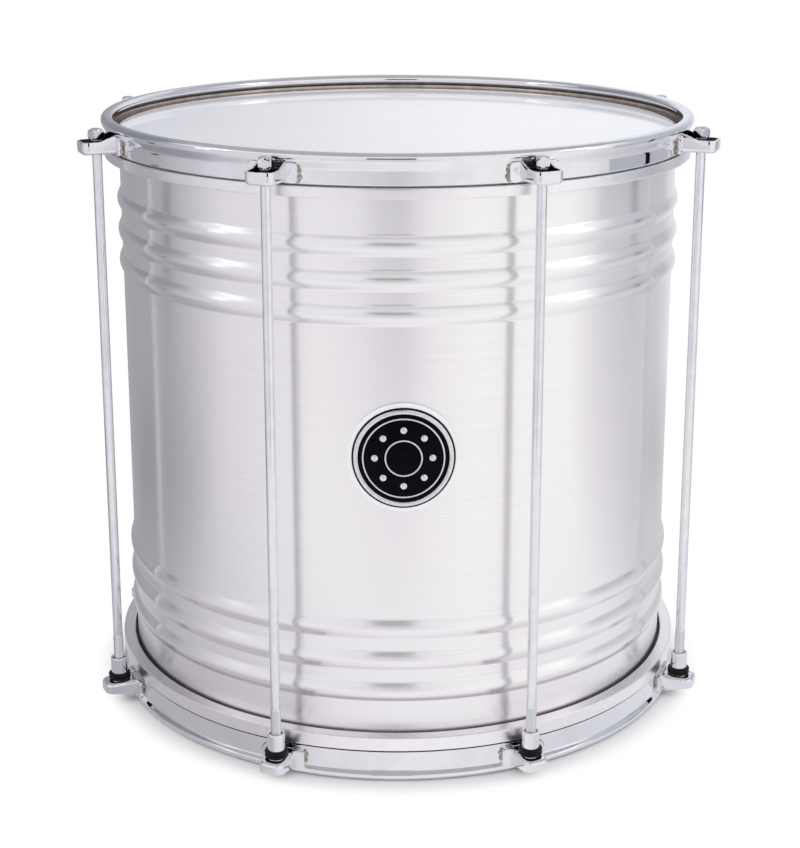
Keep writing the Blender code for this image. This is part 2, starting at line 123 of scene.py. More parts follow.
# Rods, washers, nuts and bushings
SHANK = 2.5
FLANGE_RADIUS = 4.8
FLANGE_LOW = 310.3
FLANGE_TOP = 312.3
HEAD_LOW = 314.2
KEY_HALF = 3.2
KEY_ROUND = 4.4
THREAD_PITCH = 25.4 / 24
THREAD_SHOWN = 13.5
WASHER_RADIUS = 5.4
WASHER_BORE = 2.95
WASHER_LOW = 308.85
WASHER_TOP = 310.15
BARREL_RADIUS = 4.5
NUT_BORE = 3.18
NUT_FLANGE_TOP = 10.8
NUT_FLANGE_ACROSS = 4.8
NUT_FLANGE_ALONG = 6.0
BUSHING_LOW = 12.75
BUSHING_TOP = 16.6
BUSHING_BORE = 4.6

# Badge: a plate on a backing disc, bent to the shell, with heights measured off the shell
BADGE_LEVEL = HEIGHT / 2 + 10.0
BACK_RADIUS = 28.0
BACK_TOP = 1.2
BLACK_RIM_RADIUS = 25.7
PLATE_RADIUS = 24.9
PLATE_LOW = 1.5
FIELD_RADIUS = 22.7
FIELD_TOP = 1.95
OUTER_LINE_RADIUS = 20.1
INNER_LINE_RADIUS = 9.0
LINE_HALF = 0.35
DOT_CIRCLE = 14.3
DOT_RADIUS = 1.7
DOT_LOW = 1.9

# Aluminium's grain: real lines are about 0.05 mm wide, and these are drawn near 0.4 mm so that they show
GRAIN_LINES_PER_MM = 2.4
GRAIN_LENGTH = 127.0

# Width of the film's patches of haze
FILM_HAZE = 55.56

# Detail and roughness of the noise that sets a finish's patches, and the strength of its relief
METAL_PATCHES = (4.0, 0.55, 0.2)
PLASTIC_PATCHES = (3.0, 0.5, 0.3)


def paint(hex_colour):
    """Turn an sRGB hex value into the linear colour that a socket takes."""
    parts = [int(hex_colour[i:i + 2], 16) / 255 for i in (1, 3, 5)]
    linear = [c / 12.92 if c <= 0.04045 else ((c + 0.055) / 1.055) ** 2.4 for c in parts]
    return (*linear, 1.0)


def add_node(tree, kind, settings=None, links=None):
    """Add a node, set its properties and inputs, and link other nodes' outputs to it."""
    node = tree.nodes.new(kind)
    for name, value in (settings or {}).items():
        if isinstance(name, str) and hasattr(node, name):
            setattr(node, name, value)
        else:
            node.inputs[name].default_value = value
    for name, output in (links or {}).items():
        tree.links.new(output, node.inputs[name])
    return node


def new_finish(name):
    """An empty node material with its output."""
    material = bpy.data.materials.new(name)
    material.use_nodes = True
    tree = material.node_tree
    tree.nodes.clear()
    output = add_node(tree, "ShaderNodeOutputMaterial")
    return material, tree, output


def colour_stops(ramp, stops):
    """Set a colour ramp's stops from (position, hex) pairs."""
    elements = ramp.color_ramp.elements
    while len(elements) > 1:
        elements.remove(elements[-1])
    elements[0].position = stops[0][0]
    elements[0].color = paint(stops[0][1])
    for position, colour in stops[1:]:
        elements.new(position).color = paint(colour)


def brushed_aluminium_sheet():
    """Aluminium sheet brushed round the shell on a lathe.

    The grain runs round the drum, so reflections stay sharp sideways and smear up and down.
    """
    material, tree, output = new_finish("brushed_aluminium_sheet")
    place = add_node(tree, "ShaderNodeTexCoord")
    split = add_node(tree, "ShaderNodeSeparateXYZ", links={0: place.outputs["Object"]})
    angle = add_node(tree, "ShaderNodeMath", {"operation": "ARCTAN2"},
                     {0: split.outputs["Y"], 1: split.outputs["X"]})
    along = add_node(tree, "ShaderNodeMath", {"operation": "MULTIPLY", 1: SHELL_RADIUS / GRAIN_LENGTH},
                     {0: angle.outputs[0]})
    up = add_node(tree, "ShaderNodeMath", {"operation": "MULTIPLY", 1: GRAIN_LINES_PER_MM / MM},
                  {0: split.outputs["Z"]})
    grain_place = add_node(tree, "ShaderNodeCombineXYZ", links={"X": along.outputs[0], "Z": up.outputs[0]})
    grain = add_node(tree, "ShaderNodeTexNoise", {"Scale": 1.0, "Detail": 3.0, "Roughness": 0.6},
                     {"Vector": grain_place.outputs[0]})
    tone = add_node(tree, "ShaderNodeValToRGB", links={"Fac": grain.outputs["Fac"]})
    colour_stops(tone, [(0.30, "#f0edee"), (0.70, "#f6f3f4")])
    rough = add_node(tree, "ShaderNodeMapRange", {"To Min": 0.23, "To Max": 0.26},
                     {"Value": grain.outputs["Fac"]})
    relief = add_node(tree, "ShaderNodeBump", {"Strength": 0.015, "Distance": 20 * MICRON},
                      {"Height": grain.outputs["Fac"]})
    round_drum = add_node(tree, "ShaderNodeTangent", {"direction_type": "RADIAL", "axis": "Z"})
    shader = add_node(
        tree, "ShaderNodeBsdfPrincipled",
        {"Metallic": 1.0, "Anisotropic": 0.83, "Anisotropic Rotation": 0.25},
        {"Base Color": tone.outputs["Color"], "Roughness": rough.outputs[0],
         "Normal": relief.outputs[0], "Tangent": round_drum.outputs[0]})
    tree.links.new(shader.outputs[0], output.inputs[0])
    return material


def milky_polyester_film():
    """Drawn polyester film: milky, faintly blue, with a satin gloss and a haze in broad patches."""
    material, tree, output = new_finish("milky_polyester_film")
    place = add_node(tree, "ShaderNodeTexCoord")
    haze = add_node(tree, "ShaderNodeTexNoise",
                    {"Scale": 1 / (FILM_HAZE * MM), "Detail": 5.0, "Roughness": 0.6},
                    {"Vector": place.outputs["Object"]})
    tone = add_node(tree, "ShaderNodeValToRGB", links={"Fac": haze.outputs["Fac"]})
    colour_stops(tone, [(0.3, "#eaebf0"), (0.7, "#eff0f4")])
    rough = add_node(tree, "ShaderNodeMapRange", {"To Min": 0.05, "To Max": 0.09},
                     {"Value": haze.outputs["Fac"]})
    shader = add_node(tree, "ShaderNodeBsdfPrincipled", {"IOR": 1.57},
                      {"Base Color": tone.outputs["Color"], "Roughness": rough.outputs[0]})
    tree.links.new(shader.outputs[0], output.inputs[0])
    return material


def uneven_finish(name, tones, gloss, patch_mm, relief_um, patch_kind, settings):
    """A finish whose tone, roughness and relief vary over patches of a real size."""
    detail, breakup, strength = patch_kind
    material, tree, output = new_finish(name)
    place = add_node(tree, "ShaderNodeTexCoord")
    patches = add_node(tree, "ShaderNodeTexNoise",
                       {"Scale": 1 / (patch_mm * MM), "Detail": detail, "Roughness": breakup},
                       {"Vector": place.outputs["Object"]})
    tone = add_node(tree, "ShaderNodeValToRGB", links={"Fac": patches.outputs["Fac"]})
    colour_stops(tone, [(0.35, tones[1]), (0.65, tones[0])])
    rough = add_node(tree, "ShaderNodeMapRange", {"To Min": gloss[0], "To Max": gloss[1]},
                     {"Value": patches.outputs["Fac"]})
    relief = add_node(tree, "ShaderNodeBump", {"Strength": strength, "Distance": relief_um * MICRON},
                      {"Height": patches.outputs["Fac"]})
    shader = add_node(tree, "ShaderNodeBsdfPrincipled", settings,
                      {"Base Color": tone.outputs["Color"], "Roughness": rough.outputs[0],
                       "Normal": relief.outputs[0]})
    tree.links.new(shader.outputs[0], output.inputs[0])
    return material


def metal_finish(name, light, dark, smooth, dull, patch_mm, relief_um):
    """A metal, from its lighter and darker tone, its roughness, and its patches' size and relief."""
    return uneven_finish(name, (light, dark), (smooth, dull), patch_mm, relief_um, METAL_PATCHES,
                         {"Metallic": 1.0})


def plastic_finish(name, light, dark, smooth, dull, patch_mm, relief_um, ior, gloss=0.5):
    """A moulded or enamelled surface with a slight unevenness."""
    return uneven_finish(name, (light, dark), (smooth, dull), patch_mm, relief_um, PLASTIC_PATCHES,
                         {"IOR": ior, "Specular IOR Level": gloss})


SHEET = brushed_aluminium_sheet()
# Extruded aluminium, tumbled to a satin: a soft, slightly pink-white gloss
RING_METAL = metal_finish("satin_extruded_aluminium", "#f5f2f4", "#f0edef", 0.27, 0.31, 3.0, 3)
# Chromium plate over polished steel: a near mirror with a faint waviness from the rolling
CHROME = metal_finish("chrome_plate_on_rolled_steel", "#eaeaed", "#e3e3e7", 0.03, 0.06, 14.0, 8)
# Painted shade: the top hoop's bore in a dull warm brown-grey, for the shade in the narrow recess between
# its rim and the film
BORE_PAINTED_SHADE = metal_finish("painted_shade_hoop_bore", "#cfc5bd", "#b7aca4", 0.16, 0.28, 5.0, 8)
# Painted shade: dark steel with a thin gloss, for the shade inside the pressed cups and in the bottom hoop's
# lip crevice
CUP_PAINTED_SHADE = metal_finish("painted_shade_in_cups_and_crevice", "#4b4a4f", "#2e2d31", 0.10, 0.24, 2.5, 12)
# Spot welds, ground lightly and plated over: lumpy, dull and a little warm
WELD_METAL = metal_finish("plated_spot_welds", "#cdc2b6", "#8d8177", 0.16, 0.42, 1.1, 30)
# Bright zinc plate on drawn steel rod: softer than chrome, a little grey
ROD_STEEL = metal_finish("zinc_plated_drawn_steel", "#e8e9ec", "#e0e1e5", 0.08, 0.13, 6.0, 3)
HEAD_FILM = milky_polyester_film()
# Injection-moulded nylon: black, with a fine dull skin
NYLON = plastic_finish("moulded_black_nylon", "#070708", "#040405", 0.10, 0.18, 0.8, 8, 1.53, 0.16)
# Polished acrylic backing: opaque white and glossy
WHITE_ACRYLIC = plastic_finish("polished_white_acrylic", "#fdfdfd", "#f8f8f9", 0.10, 0.16, 9.0, 4, 1.49)
# Hard enamel filled into the plate: black and very smooth
ENAMEL = plastic_finish("fired_black_enamel", "#04040a", "#020206", 0.05, 0.10, 7.0, 6, 1.55, 0.05)
# Stamped and plated brass edge of the plate
PLATE_METAL = metal_finish("plated_stamped_edge", "#e3e3e6", "#cfcfd4", 0.12, 0.20, 1.5, 8)


def add_piece(name, mesh, material, body, nodes, place=None, sharp_deg=32):
    """Add a visible piece that rides on a body and stands for CAD nodes."""
    piece = bpy.data.objects.new(name, mesh)
    bpy.context.scene.collection.objects.link(piece)
    if place is not None:
        piece.matrix_world = place
    if not mesh.materials:
        mesh.materials.append(material)
    mesh.shade_smooth()
    mesh.set_sharp_from_angle(angle=math.radians(sharp_deg))
    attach(piece, body)
    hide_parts(*nodes)


def mesh_of_rings(name, rings, closed):
    """Skin equal rings of points, from the outer side's top round to the inner side.

    A ring of one point is the axis, and a closed skin joins its last ring to its first.
    """
    points = []
    starts = []
    for ring in rings:
        starts.append(len(points))
        points += [(x * MM, y * MM, z * MM) for x, y, z in ring]
    count = max(len(ring) for ring in rings)
    pairs = [(i, i + 1) for i in range(len(rings) - 1)]
    if closed:
        pairs.append((len(rings) - 1, 0))
    faces = []
    for upper, lower in pairs:
        for i in range(count):
            j = (i + 1) % count
            if len(rings[upper]) == 1:
                faces.append((starts[upper], starts[lower] + i, starts[lower] + j))
            elif len(rings[lower]) == 1:
                faces.append((starts[upper] + j, starts[upper] + i, starts[lower]))
            else:
                faces.append((starts[upper] + i, starts[lower] + i, starts[lower] + j, starts[upper] + j))
    mesh = bpy.data.meshes.new(name)
    mesh.from_pydata(points, [], faces)
    return mesh


def full_turn(count):
    """Equal angles round a full turn."""
    return [2 * math.pi * i / count for i in range(count)]


def circle(radius, height, count):
    """A ring of points about the Z axis, or the axis point itself."""
    if radius == 0:
        return [(0.0, 0.0, height)]
    return [(radius * math.cos(t), radius * math.sin(t), height) for t in full_turn(count)]


def turned_mesh(name, profile, count=320, closed=True):
    """Turn a profile of (radius, height) about the Z axis."""
    return mesh_of_rings(name, [circle(r, h, count) for r, h in profile], closed)


def arc(centre, radius, start_deg, end_deg, count):
    """Points on an arc of a profile."""
    turns = [math.radians(start_deg + (end_deg - start_deg) * i / (count - 1)) for i in range(count)]
    return [(centre[0] + radius * math.cos(t), centre[1] + radius * math.sin(t)) for t in turns]


def bend(start, corner, end, count):
    """A soft curve between two points of a profile, drawn towards a corner."""
    start, corner, end = Vector(start), Vector(corner), Vector(end)
    shares = [i / (count - 1) for i in range(count)]
    return [tuple(start * (1 - t) ** 2 + corner * 2 * t * (1 - t) + end * t ** 2) for t in shares]


def softened(profile, corner, steps=3):
    """Round each corner of a closed profile, with a point on each side that keeps the flats straight."""
    result = []
    for i, point in enumerate(profile):
        here = Vector(point)
        before = Vector(profile[i - 1]) - here
        after = Vector(profile[(i + 1) % len(profile)]) - here
        cut = min(corner, before.length * 0.45, after.length * 0.45)
        start = here + before.normalized() * cut
        end = here + after.normalized() * cut
        result.append(tuple(start + before * 0.08))
        result += bend(start, here, end, steps + 1)
        result.append(tuple(end + after * 0.08))
    return result


def upside_down(profile):
    """The same profile at the drum's other end."""
    return [(r, HEIGHT - h) for r, h in reversed(profile)]


def rolled_side(radius, steps=16, margin=0.5):
    """One side of the shell's sheet from the top down, over its rolled beads.

    A ring close to each bead keeps the flat sheet between them shaded straight.
    """
    low_beads = [SHELL_LOW + FIRST_BEAD + BEAD_PITCH * i for i in range(BEAD_COUNT)]
    high_beads = [HEIGHT - level for level in low_beads]
    side = [(radius, SHELL_HIGH)]
    for centre in high_beads + low_beads[::-1]:
        side.append((radius, centre + BEAD_HALF + margin))
        for i in range(steps + 1):
            u = 1 - 2 * i / steps
            side.append((radius + BEAD_RISE * (1 - u * u) ** 1.25, centre + BEAD_HALF * u))
        side.append((radius, centre - BEAD_HALF - margin))
    side.append((radius, SHELL_LOW))
    return side


def make_shell():
    """The brushed sheet with its rolled beads."""
    inside = rolled_side(SHELL_RADIUS - SHELL_WALL)[::-1]
    mesh = turned_mesh("rolled_shell", rolled_side(SHELL_RADIUS) + inside, 384)
    add_piece("rolled_shell", mesh, SHEET, "drum", ["shell"], sharp_deg=50)


def film_profile():
    """The upper film: flat, rolled over the bearing edge and drawn down into its ring."""
    roll = 1.0
    edge = SHELL_RADIUS + SLIP
    roll_centre = (edge - 0.4, FILM_TOP - roll)
    flat_ends = (0.0, edge - 2.6, edge - 1.5)
    inner = GROOVE_INNER + SLIP
    ring_top = LIP - SLIP
    over = [(r, FILM_TOP) for r in flat_ends] + arc(roll_centre, roll, 80, 18, 5)
    down = [(inner + FILM, ring_top), (inner + FILM, FILM_FOOT)]
    back = [(inner, FILM_FOOT), (inner, ring_top)]
    under = arc(roll_centre, roll - FILM, 18, 80, 5) + [(r, FILM_TOP - FILM) for r in reversed(flat_ends)]
    return over + down + back + under


def ring_profile(height):
    """The upper flesh hoop, with the groove that grips the film."""
    top = LIP - SLIP
    groove_floor = top - GROOVE_DEPTH
    outline = [
        (GROOVE_OUTER, top), (RING_OUTER, top), (RING_OUTER, top - height), (RING_BORE, top - height),
        (RING_BORE, top), (GROOVE_INNER, top), (GROOVE_INNER, groove_floor), (GROOVE_OUTER, groove_floor),
    ]
    return softened(outline, RING_CORNER)


def flat_roll(start_deg, end_deg, count):
    """Points on the rolled rim's oblong section, domed above and flatter below."""
    points = []
    for i in range(count):
        t = math.radians(start_deg + (end_deg - start_deg) * i / (count - 1))
        across, up = math.cos(t), math.sin(t)
        reach = (abs(across) ** RIM_POWER + abs(up) ** RIM_POWER) ** (-1 / RIM_POWER)
        tall = RIM_DOME if up > 0 else RIM_UNDER
        points.append((RIM_CENTRE + RIM_HALF * reach * across, HEIGHT - RIM_DOME + tall * reach * up))
    return points


def hoop_flare(drop, steps=10):
    """The hoop's outer side from its rolled rim down to the straight band, as an easy curve."""
    side = []
    for i in range(steps + 1):
        u = i / steps
        spread = (RIM_OUTER - HOOP_OUTER) * (1 - u * u * (3 - 2 * u))
        side.append((HOOP_OUTER + spread, HEIGHT - RIM_DOME - drop * u))
    return side


def hoop_profile(drop):
    """The upper counterhoop: a band with its upper edge rolled over flat, and a soft lower lip.

    A point close to the end of each curve keeps the straight band shaded straight.
    """
    outer_round, inner_round = 1.1, 0.7
    band_top, band_foot = HEIGHT - 9.7, LIP + 1.5
    bore_top, bore_foot = HEIGHT - 6.4, LIP + 1.0
    outside = flat_roll(90, 0, 14) + hoop_flare(drop)[1:] + [(HOOP_OUTER, band_top), (HOOP_OUTER, band_foot)]
    lip = arc((HOOP_OUTER - outer_round, LIP + outer_round), outer_round, 0, -90, 6)
    lip += arc((HOOP_BORE + inner_round, LIP + inner_round), inner_round, -90, -180, 5)
    bore = [(HOOP_BORE, bore_foot), (HOOP_BORE, bore_top)]
    under_roll = flat_roll(200, 98, 13)
    turn = bend((HOOP_BORE, bore_top + 0.1), (RIM_CENTRE - RIM_HALF + 0.9, HEIGHT - 5.3), under_roll[0], 7)
    return outside + lip + bore + turn[:-1] + under_roll


def finish_hoop(hoop, top):
    """Chrome outside, with painted shade on the top hoop's bore as a dull brown-grey, and on the bottom
    hoop's lip crevice as dark steel.
    """
    for finish in (CHROME, BORE_PAINTED_SHADE if top else CHROME, CUP_PAINTED_SHADE):
        hoop.materials.append(finish)
    for face in hoop.polygons:
        across = math.hypot(face.center.x, face.center.y) / MM
        depth = min(face.center.z, HEIGHT * MM - face.center.z) / MM
        # The top hoop's bore takes painted shade as a dull brown-grey; the bottom hoop's bore stays chrome
        if across < HOOP_BORE + 0.1 and depth > RIM_HEIGHT - 0.3:
            face.material_index = 1
        # The bottom hoop's lip, in the crevice against its ring, takes painted shade as dark steel
        elif not top and depth > HOOP_HEIGHT - 0.75:
            face.material_index = 2


def make_heads_and_hoops():
    """Both heads and both counterhoops."""
    ends = (("batter", list, "top_hoop", "top_hoop", TOP_FLARE),
            ("resonant", upside_down, "drum", "bottom_hoop", BOTTOM_FLARE))
    for name, turn_over, hoop_body, hoop_node, flare in ends:
        film = turned_mesh(f"drawn_{name}_film", turn_over(film_profile()), closed=False)
        add_piece(f"drawn_{name}_film", film, HEAD_FILM, "drum", [f"{name}_film"])
        ring_low, ring_high = levels(f"{name}_flesh_hoop")
        ring = turned_mesh(f"grooved_{name}_ring", turn_over(ring_profile(ring_high - ring_low)))
        add_piece(f"grooved_{name}_ring", ring, RING_METAL, "drum", [f"{name}_flesh_hoop"])
        hoop = turned_mesh(f"rolled_{hoop_node}", turn_over(hoop_profile(flare)))
        finish_hoop(hoop, name == "batter")
        add_piece(f"rolled_{hoop_node}", hoop, CHROME, hoop_body, [hoop_node])


def lug_place(index, height=0.0, flipped=False):
    """Frame of a lug: origin on its rod's axis, +Y away from the drum."""
    azimuth = math.radians(FIRST_LUG_DEG + LUG_STEP_DEG * index)
    spot = Vector((LUG_RADIUS * math.sin(azimuth), -LUG_RADIUS * math.cos(azimuth), height)) * MM
    flip = Matrix.Rotation(math.pi, 4, "Y") if flipped else Matrix.Identity(4)
    return Matrix.Translation(spot) @ Matrix.Rotation(azimuth + math.pi, 4, "Z") @ flip


def shaped(mesh, kind, settings):
    """Apply one modifier to a mesh and return the result."""
    stock = bpy.data.objects.new("stock", mesh)
    bpy.context.scene.collection.objects.link(stock)
    step = stock.modifiers.new("step", kind)
    for name, value in settings.items():
        setattr(step, name, value)
    bpy.context.view_layer.update()
    graph = bpy.context.evaluated_depsgraph_get()
    result = bpy.data.meshes.new_from_object(stock.evaluated_get(graph))
    bpy.data.objects.remove(stock, do_unlink=True)
    return result


def cut_stock(mesh, tool, operation="DIFFERENCE"):
    """Cut a mesh with another one, or join them, by an exact Boolean."""
    cutter = bpy.data.objects.new("cutter", tool)
    bpy.context.scene.collection.objects.link(cutter)
    result = shaped(mesh, "BOOLEAN", {"operation": operation, "solver": "EXACT", "object": cutter})
    bpy.data.objects.remove(cutter, do_unlink=True)
    return result


def soft_edges(mesh, width=0.3):
    """Break the sharp edges with a narrow two-step bevel."""
    return shaped(mesh, "BEVEL", {"width": width * MM, "segments": 2, "limit_method": "ANGLE",
                                  "angle_limit": math.radians(40)})


def prism(low_end, high_end):
    """A solid between two equal outlines, its ends closed."""
    count = len(low_end)
    points = [(x * MM, y * MM, z * MM) for x, y, z in low_end + high_end]
    faces = [tuple(range(count - 1, -1, -1)), tuple(range(count, 2 * count))]
    faces += [(i, (i + 1) % count, count + (i + 1) % count, count + i) for i in range(count)]
    mesh = bpy.data.meshes.new("prism")
    mesh.from_pydata(points, [], faces)
    return mesh


def upright_block(outline, low, high):
    """Block between two heights from an outline of (x, y)."""
    return prism(*[[(x, y, z) for x, y in outline] for z in (low, high)])


def claw_outline(width, inset, back, count=9):
    """The claw's U seen from above, open towards the hoop."""
    half = width / 2 - inset
    radius = CLAW_CORNER - inset
    tip = CLAW_REACH - inset - radius
    right = arc((half - radius, tip), radius, 0, 90, count)
    left = arc((radius - half, tip), radius, 90, 180, count)
    return [(-half, -back), (half, -back)] + right + left


def rolled_floor(mesh, back, radius, count=5):
    """Round the lower edges of a cup, apart from the one that meets the hoop."""
    low = min(v.co.z for v in mesh.vertices)
    hoop_side = -back * MM * 0.9
    bm = bmesh.new()
    bm.from_mesh(mesh)
    edges = [e for e in bm.edges
             if all(abs(v.co.z - low) < MICRON for v in e.verts)
             and any(v.co.y > hoop_side for v in e.verts)]
    bmesh.ops.bevel(bm, geom=edges, offset=radius * MM, segments=count, profile=0.5, affect="EDGES")
    bm.to_mesh(mesh)
    bm.free()
    return mesh


def foot_block(width, mirror, back):
    """A foot of the claw: a plate with round outer corners that lies on the hoop's band."""
    inner = width / 2 - CLAW_WALL
    outer = width / 2 + FOOT_WIDTH
    low, high, radius = -0.6, 9.0, 1.9
    outline = [(inner, low)] + arc((outer - radius, low + radius), radius, -90, 0, 6)
    outline += arc((outer - radius, high - radius), radius, 0, 90, 6) + [(inner, high)]
    if mirror < 0:
        outline = [(-x, z) for x, z in reversed(outline)]
    return prism(*[[(x, y, z) for x, z in outline] for y in (CLAW_OVERLAP - ROD_REACH, -back)])


def hoop_room(setback, drop):
    """The hoop and its rolled rim as a solid, seen from a claw whose floor is at height 0."""
    gap = 0.05
    side = [(r + gap, h - LIP - setback) for r, h in hoop_flare(drop)]
    top, foot = side[0][1] + 9.0, -8.0
    profile = [(0.0, top), (side[0][0], top)] + side + [(HOOP_OUTER + gap, foot), (0.0, foot)]
    mesh = turned_mesh("hoop_room", profile, closed=False)
    mesh.transform(Matrix.Translation((0.0, -LUG_RADIUS * MM, 0.0)))
    return mesh


def weld_beads(width, setback):
    """Small spot welds along the outer ends of both feet, lying on the band."""
    beads = bmesh.new()
    for mirror in (-1, 1):
        across = mirror * (width / 2 + FOOT_WIDTH - 0.3)
        depth = math.sqrt(HOOP_OUTER ** 2 - across ** 2) - LUG_RADIUS
        for i, radius in enumerate(WELD_RADII):
            height = WELD_LOW + WELD_PITCH * i
            if height + setback + radius > HOOP_HEIGHT - RIM_HEIGHT:
                continue
            lump = bmesh.ops.create_icosphere(beads, subdivisions=2, radius=radius * MM)["verts"]
            bmesh.ops.scale(beads, vec=(1.0, 0.8, 1.15), verts=lump)
            shift = mirror * (0.5 if i % 2 else -0.1)
            bmesh.ops.translate(beads, vec=Vector((across + shift, depth + 0.5, height)) * MM, verts=lump)
    for lump_face in beads.faces:
        lump_face.material_index = 2
    mesh = bpy.data.meshes.new("weld_beads")
    beads.to_mesh(mesh)
    beads.free()
    return mesh


def claw_mesh(name, width, setback, hole, tip, middle, drop):
    """A pressed cup with two welded feet, its floor at height 0 and its opening above.

    Its wall is lower at the tip and over the rod than at the hoop. Cutters reach clear past the metal.
    """
    clear = 1.0
    back = ROD_REACH + CLAW_OVERLAP
    high = CLAW_ROOT + 2 * clear
    far = CLAW_REACH + clear
    cup = rolled_floor(upright_block(claw_outline(width, 0.0, back), 0.0, CLAW_ROOT), back, CUP_ROUND)
    for finish in (CHROME, CUP_PAINTED_SHADE, WELD_METAL):
        cup.materials.append(finish)
    slope = [(far, tip), (far, high), (-ROD_REACH, high), (-ROD_REACH, CLAW_ROOT), (0.0, middle)]
    cup = cut_stock(cup, prism(*[[(x, y, z) for y, z in slope] for x in (-12.0, 12.0)]))
    pocket = upright_block(claw_outline(width, CLAW_WALL, back + clear), CLAW_WALL, high + clear)
    pocket = rolled_floor(pocket, back + clear, POCKET_ROUND, 3)
    # The pocket's faces take the painted shade: dark steel for the shade inside the cup
    for finish in (CHROME, CUP_PAINTED_SHADE):
        pocket.materials.append(finish)
    for face in pocket.polygons:
        face.material_index = 1
    cup = cut_stock(cup, pocket)
    for mirror in (-1, 1):
        cup = cut_stock(cup, foot_block(width, mirror, back), "UNION")
    bore = [(x, y) for x, y, _ in circle(hole, 0.0, 40)]
    cup = cut_stock(cup, upright_block(bore, -clear, 3 * clear))
    cup = soft_edges(cut_stock(cup, hoop_room(setback, drop)))
    whole = bmesh.new()
    whole.from_mesh(cup)
    whole.from_mesh(weld_beads(width, setback))
    whole.to_mesh(cup)
    whole.free()
    cup.name = name
    return cup


def rod_mesh(count=32, rows_per_turn=8):
    """A tension rod: rolled thread below, plain shank, flange, and a square domed key head."""
    turns = full_turn(count)
    head, top = HEAD_LOW, HEAD_TOP
    neck = 2.7
    shape = [(1.2, top - 0.05), (2.2, top - 0.25), (3.1, top - 0.65), (3.9, top - 1.3),
             (KEY_ROUND, top - 2.2), (KEY_ROUND, head + 1.5), (4.2, head + 1.1), (3.5, head + 0.5),
             (neck, head), (neck, FLANGE_TOP + 0.3), (3.0, FLANGE_TOP),
             (FLANGE_RADIUS - 0.3, FLANGE_TOP), (FLANGE_RADIUS, FLANGE_TOP - 0.3),
             (FLANGE_RADIUS, FLANGE_LOW + 0.3), (FLANGE_RADIUS - 0.3, FLANGE_LOW),
             (SHANK, FLANGE_LOW), (SHANK, FLANGE_LOW - 0.3)]
    rings = [circle(0.0, top, count)]
    for radius, height in shape:
        ring = []
        for t in turns:
            square = KEY_HALF / max(abs(math.cos(t)), abs(math.sin(t)))
            reach = min(radius, square) if height >= head else radius
            ring.append((reach * math.cos(t), reach * math.sin(t), height))
        rings.append(ring)
    start = NUT_TOP + THREAD_SHOWN
    rings += [circle(SHANK, h, count) for h in (290.0, 240.0, 190.0, 140.0, 90.0, 50.0, start + 0.5)]
    step = THREAD_PITCH / rows_per_turn
    rows = int((start - NUT_TOP + 1.5) / step)
    # A rolled thread's crests stand proud of the shank, and its roots are rounded off
    proud, deep, fullness = 0.22, 0.50, 1.35
    for row in range(rows + 1):
        height = start - row * step
        grow = min(1.0, row / rows_per_turn)
        ring = []
        for t in turns:
            phase = (height / THREAD_PITCH - t / (2 * math.pi)) % 1.0
            crest = 1 - abs(2 * phase - 1)
            radius = SHANK + grow * (proud - deep * (1 - min(1.0, crest * fullness)))
            ring.append((radius * math.cos(t), radius * math.sin(t), height))
        rings.append(ring)
    rings += [circle(SHANK - 0.05, h, count) for h in (NUT_TOP - 1.9, ROD_END + 0.7)]
    rings += [circle(SHANK - 0.5, ROD_END, count), circle(0.0, ROD_END, count)]
    return mesh_of_rings("key_rod", rings, closed=False)


def oblong(inset, height, count):
    """A ring round the nut's flange: a rectangle with soft corners, inset by a chamfer."""
    across = NUT_FLANGE_ACROSS - inset
    along = NUT_FLANGE_ALONG - inset
    ring = []
    for t in full_turn(count):
        reach = (abs(math.cos(t) / across) ** 9 + abs(math.sin(t) / along) ** 9) ** (-1 / 9)
        ring.append((reach * math.cos(t), reach * math.sin(t), height))
    return ring


def nut_mesh(count=64):
    """A receiver nut: round barrel with a countersunk mouth on an oblong flange, bored for the rod."""
    barrel = [(3.95, NUT_TOP), (4.3, NUT_TOP - 0.12), (4.46, NUT_TOP - 0.4), (BARREL_RADIUS, NUT_TOP - 0.8),
              (BARREL_RADIUS, NUT_FLANGE_TOP)]
    flange = [(0.25, NUT_FLANGE_TOP), (0.0, NUT_FLANGE_TOP - 0.3), (0.0, NUT_LOW + 0.3), (0.25, NUT_LOW)]
    mouth = [(3.35, NUT_LOW), (NUT_BORE, NUT_LOW + 0.3), (NUT_BORE, NUT_TOP - 1.0), (3.35, NUT_TOP - 0.3),
             (3.6, NUT_TOP)]
    rings = [circle(r, h, count) for r, h in barrel]
    rings += [oblong(inset, h, count) for inset, h in flange]
    rings += [circle(r, h, count) for r, h in mouth]
    return mesh_of_rings("receiver_nut_barrel", rings, closed=True)


def washer_mesh():
    """A stamped washer with soft edges."""
    section = [(WASHER_RADIUS, WASHER_TOP), (WASHER_RADIUS, WASHER_LOW), (WASHER_BORE, WASHER_LOW),
               (WASHER_BORE, WASHER_TOP)]
    return turned_mesh("stamped_washer", softened(section, 0.25, 2), 48)


def bushing_mesh():
    """A moulded bushing: two round beads, one on the other, on a plain bore."""
    upper, lower = 0.95, 1.0
    section = arc((5.1, BUSHING_TOP - upper), upper, 90, -60, 9)
    section += arc((5.05, BUSHING_LOW + lower), lower, 60, -90, 9)
    section += [(BUSHING_BORE, BUSHING_LOW), (BUSHING_BORE, BUSHING_TOP)]
    return turned_mesh("moulded_bushing", section, 64)


def key_turn(index):
    """How a rod's square head stands: an eighth of a turn further at each lug towards the back."""
    behind = abs((FIRST_LUG_DEG + LUG_STEP_DEG * index + 180) % 360 - 180)
    return Matrix.Rotation(math.radians(45) * int(behind // 45), 4, "Z")


